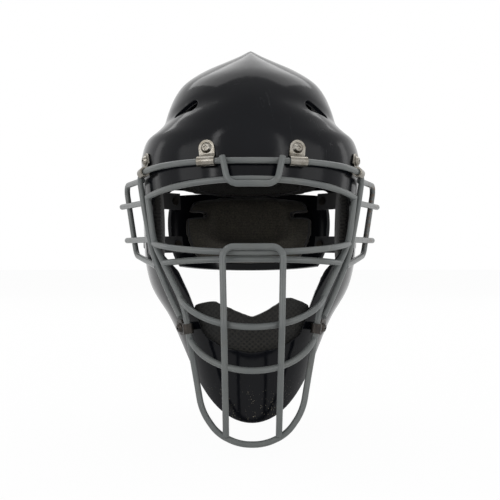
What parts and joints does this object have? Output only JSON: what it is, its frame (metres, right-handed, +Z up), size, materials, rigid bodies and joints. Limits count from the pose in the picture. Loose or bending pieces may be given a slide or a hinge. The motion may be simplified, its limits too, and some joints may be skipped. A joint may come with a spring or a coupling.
{
  "type": "catcher helmet",
  "caption": "Hard-shell baseball catcher helmet with a welded wire face cage, inner pads and a sprung back plate on elastic straps.",
  "frame": {"origin": "centre of the head cavity, on the ear line and the middle plane", "axes": "+Z up through the crown, -Y out through the face opening, +X towards the wearer's left"},
  "size_m": [0.2488, 0.2541, 0.3426],
  "materials": {
    "shell": "gloss moulded ABS",
    "plate": "gloss moulded ABS",
    "cage": "satin grey vinyl coat on steel wire",
    "clips": "nickel-plated steel",
    "screws": "nickel-plated steel",
    "pad": "knitted mesh over foam",
    "back_pad": "brushed knit over foam",
    "strap": "woven elastic"
  },
  "bodies": {
    "helmet": {"helmet_shell": "shell", "face_cage": "cage", "clip_screws": "screws", "tee_nuts": "screws", "strap_rivets_front": "screws", "brow_pad": "pad", "crown_pad_front": "pad", "crown_pad_rear": "pad", "chin_pad": "pad", "rear_pad": "pad", "brow_clip_left": "clips", "temple_clip_left": "clips", "jaw_clip_left": "clips", "side_pad_left": "pad", "ear_pad_left": "pad", "jaw_pad_left": "pad", "upper_strap_left": "strap", "lower_strap_left": "strap", "brow_clip_right": "clips", "temple_clip_right": "clips", "jaw_clip_right": "clips", "side_pad_right": "pad", "ear_pad_right": "pad", "jaw_pad_right": "pad", "upper_strap_right": "strap", "lower_strap_right": "strap"},
    "back_unit": {"back_plate": "plate", "back_pad": "back_pad", "strap_rivets_rear": "screws"}
  },
  "joints": [
    {"name": "back_plate_slide", "type": "slide", "parent": "helmet", "child": "back_unit", "axis": [0, 1, 0], "range_m": [0, 0.03], "stiffness_N_per_m": 300, "deforming": ["upper_strap_left", "upper_strap_right", "lower_strap_left", "lower_strap_right"]}
  ]
}
